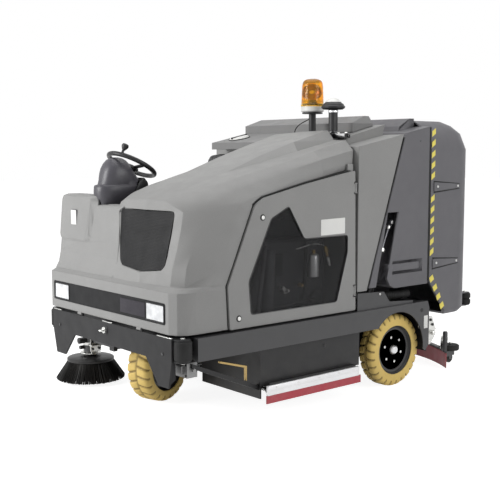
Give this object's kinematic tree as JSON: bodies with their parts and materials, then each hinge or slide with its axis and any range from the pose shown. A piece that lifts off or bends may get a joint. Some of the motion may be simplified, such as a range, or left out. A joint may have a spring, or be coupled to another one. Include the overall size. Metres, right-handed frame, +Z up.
{
  "type": "ride-on sweeper-scrubber",
  "caption": "Ride-on floor sweeper and scrubber: steered front wheel, tilting hood with glazed side door, tipping debris container with rear flap, side brush, scrub deck and rear squeegee.",
  "frame": {"origin": "middle of the machine's box on the floor", "axes": "+X to the machine's left, +Y to its rear, +Z up; the machine faces -Y"},
  "size_m": [1.64, 2.522, 1.8726],
  "materials": {
    "light_grey_moulding": "satin",
    "dark_grey_moulding": "satin",
    "anthracite_paint": "satin",
    "black_plastic": "satin",
    "black_rubber": "matte",
    "tan_tyre": "matte",
    "red_rubber": "satin",
    "aluminium": "extruded",
    "zinc_plate": "plated",
    "amber_lens": "clear",
    "clear_lens": "clear",
    "smoked_pane": "smoked",
    "cast_metal": "painted",
    "white_plastic": "gloss",
    "seat_vinyl": "grained vinyl"
  },
  "bodies": {
    "machine": {"chassis_frame": "anthracite_paint", "side_beam_left": "anthracite_paint", "side_beam_right": "anthracite_paint", "front_bumper": "anthracite_paint", "tow_eye": "zinc_plate", "rear_axle": "anthracite_paint", "engine_block": "cast_metal", "air_filter": "aluminium", "operator_floor": "black_rubber", "seat_base": "light_grey_moulding", "seat_cushion": "seat_vinyl", "seat_back": "seat_vinyl", "steering_column": "dark_grey_moulding", "water_tank": "light_grey_moulding", "rear_cover": "dark_grey_moulding", "deck_housing": "black_plastic", "skirt_rail_left": "aluminium", "skirt_rail_right": "aluminium", "skirt_blade_left": "red_rubber", "skirt_blade_right": "red_rubber", "beacon_stand": "black_plastic", "beacon_base": "white_plastic", "beacon_lens": "amber_lens", "air_intake": "black_plastic"},
    "hood_assembly": {"hood": "light_grey_moulding", "front_grille": "black_plastic", "lamp_bar": "black_plastic", "headlight_left": "clear_lens", "headlight_right": "clear_lens"},
    "door": {"engine_door": "light_grey_moulding", "window_pane": "smoked_pane"},
    "fork": {"front_fork": "anthracite_paint"},
    "front_wheel": {"front_tyre": "tan_tyre", "front_rim": "black_plastic"},
    "rear_wheel_left": {"rear_tyre_left": "tan_tyre", "rear_rim_left": "black_plastic"},
    "rear_wheel_right": {"rear_tyre_right": "tan_tyre", "rear_rim_right": "black_plastic"},
    "corner_roller_left": {"corner_roller_left": "black_rubber"},
    "corner_roller_right": {"corner_roller_right": "black_rubber"},
    "hand_wheel": {"steering_wheel": "black_plastic"},
    "debris_container": {"container": "dark_grey_moulding"},
    "rear_flap": {"container_flap": "dark_grey_moulding"},
    "rear_roller_left": {"rear_roller_left": "black_rubber"},
    "rear_roller_right": {"rear_roller_right": "black_rubber"},
    "barrel_left": {"lift_barrel_left": "black_plastic"},
    "barrel_right": {"lift_barrel_right": "black_plastic"},
    "rod_left": {"lift_rod_left": "zinc_plate"},
    "rod_right": {"lift_rod_right": "zinc_plate"},
    "scrub_roller_front": {"scrub_roller_front": "dark_grey_moulding"},
    "scrub_roller_rear": {"scrub_roller_rear": "dark_grey_moulding"},
    "squeegee": {"squeegee_carrier": "anthracite_paint", "squeegee_blade": "red_rubber"},
    "castor_left": {"castor_wheel_left": "black_rubber"},
    "castor_right": {"castor_wheel_right": "black_rubber"},
    "deflector_left": {"deflector_roller_left": "black_rubber"},
    "deflector_right": {"deflector_roller_right": "black_rubber"},
    "side_brush_arm": {"brush_arm": "anthracite_paint"},
    "side_brush_head": {"side_brush": "black_plastic"}
  },
  "joints": [
    {"name": "steer", "type": "hinge", "parent": "machine", "child": "fork", "pos_m": [0.052, -0.818, 0.205], "axis": [0, 0, 1], "range_deg": [-92, 58]},
    {"name": "front_wheel_spin", "type": "hinge", "parent": "fork", "child": "front_wheel", "pos_m": [0.052, -0.818, 0.205], "axis": [0.9563, 0.2924, 0], "continuous": true},
    {"name": "rear_wheel_spin_left", "type": "hinge", "parent": "machine", "child": "rear_wheel_left", "pos_m": [0.696, 0.462, 0.224], "axis": [1, 0, 0], "continuous": true},
    {"name": "rear_wheel_spin_right", "type": "hinge", "parent": "machine", "child": "rear_wheel_right", "pos_m": [-0.392, 0.462, 0.224], "axis": [1, 0, 0], "continuous": true},
    {"name": "corner_roller_spin_left", "type": "hinge", "parent": "machine", "child": "corner_roller_left", "pos_m": [0.774, -1.169, 0.455], "axis": [0, 0, 1], "continuous": true},
    {"name": "corner_roller_spin_right", "type": "hinge", "parent": "machine", "child": "corner_roller_right", "pos_m": [-0.47, -1.169, 0.455], "axis": [0, 0, 1], "continuous": true},
    {"name": "hand_wheel_turn", "type": "hinge", "parent": "machine", "child": "hand_wheel", "pos_m": [-0.128, -0.866, 1.36], "axis": [0, 0.4695, 0.8829], "range_deg": [-372, 236]},
    {"name": "hood_tilt", "type": "hinge", "parent": "machine", "child": "hood_assembly", "pos_m": [0.152, -1.209, 0.5245], "axis": [1, 0, 0], "range_deg": [0, 50]},
    {"name": "door_swing", "type": "hinge", "parent": "hood_assembly", "child": "door", "pos_m": [0.798, 0.035, 0.9], "axis": [0, 0, 1], "range_deg": [0, 100]},
    {"name": "container_tip", "type": "hinge", "parent": "machine", "child": "debris_container", "pos_m": [0.152, 0.494, 1.52], "axis": [1, 0, 0], "range_deg": [0, 45]},
    {"name": "flap_swing", "type": "hinge", "parent": "debris_container", "child": "rear_flap", "pos_m": [0.152, 0.713, 1.618], "axis": [1, 0, 0], "range_deg": [0, 50]},
    {"name": "rear_roller_spin_left", "type": "hinge", "parent": "rear_flap", "child": "rear_roller_left", "pos_m": [0.702, 1.216, 0.462], "axis": [0, 0, 1], "continuous": true},
    {"name": "rear_roller_spin_right", "type": "hinge", "parent": "rear_flap", "child": "rear_roller_right", "pos_m": [-0.398, 1.216, 0.462], "axis": [0, 0, 1], "continuous": true},
    {"name": "barrel_swing_left", "type": "hinge", "parent": "machine", "child": "barrel_left", "pos_m": [0.748, 0.191, 0.56], "axis": [1, 0, 0], "range_deg": [-28, 1]},
    {"name": "barrel_swing_right", "type": "hinge", "parent": "machine", "child": "barrel_right", "pos_m": [-0.444, 0.191, 0.56], "axis": [1, 0, 0], "range_deg": [-28, 1]},
    {"name": "rod_slide_left", "type": "slide", "parent": "barrel_left", "child": "rod_left", "axis": [0, 0.4024, 0.9155], "range_m": [0, 0.272]},
    {"name": "rod_slide_right", "type": "slide", "parent": "barrel_right", "child": "rod_right", "axis": [0, 0.4024, 0.9155], "range_m": [0, 0.272]},
    {"name": "scrub_spin_front", "type": "hinge", "parent": "machine", "child": "scrub_roller_front", "pos_m": [0.152, -0.431, 0.2], "axis": [1, 0, 0], "continuous": true},
    {"name": "scrub_spin_rear", "type": "hinge", "parent": "machine", "child": "scrub_roller_rear", "pos_m": [0.152, -0.161, 0.2], "axis": [1, 0, 0], "continuous": true},
    {"name": "squeegee_lift", "type": "hinge", "parent": "machine", "child": "squeegee", "pos_m": [0.152, 0.779, 0.3], "axis": [1, 0, 0], "range_deg": [0, 15]},
    {"name": "castor_spin_left", "type": "hinge", "parent": "squeegee", "child": "castor_left", "pos_m": [0.587, 1.20668, 0.0405], "axis": [1, 0, 0], "continuous": true},
    {"name": "castor_spin_right", "type": "hinge", "parent": "squeegee", "child": "castor_right", "pos_m": [-0.283, 1.20668, 0.0405], "axis": [1, 0, 0], "continuous": true},
    {"name": "deflector_spin_left", "type": "hinge", "parent": "squeegee", "child": "deflector_left", "pos_m": [0.672, 1.11335, 0.14], "axis": [0, 0, 1], "continuous": true},
    {"name": "deflector_spin_right", "type": "hinge", "parent": "squeegee", "child": "deflector_right", "pos_m": [-0.368, 1.11335, 0.14], "axis": [0, 0, 1], "continuous": true},
    {"name": "side_brush_lift", "type": "hinge", "parent": "machine", "child": "side_brush_arm", "pos_m": [-0.268, -0.886, 0.27], "axis": [0, 1, 0], "range_deg": [0, 12]},
    {"name": "side_brush_spin", "type": "hinge", "parent": "side_brush_arm", "child": "side_brush_head", "pos_m": [-0.598, -0.886, 0.165], "axis": [0, 0, 1], "continuous": true}
  ],
  "couplings": [
    {"joint": "hand_wheel_turn", "follows": "steer", "ratio": 4},
    {"joint": "barrel_swing_left", "follows": "container_tip", "ratio": -0.6},
    {"joint": "barrel_swing_right", "follows": "container_tip", "ratio": -0.6},
    {"joint": "rod_slide_left", "follows": "container_tip", "m_per_rad": 0.34},
    {"joint": "rod_slide_right", "follows": "container_tip", "m_per_rad": 0.34}
  ]
}
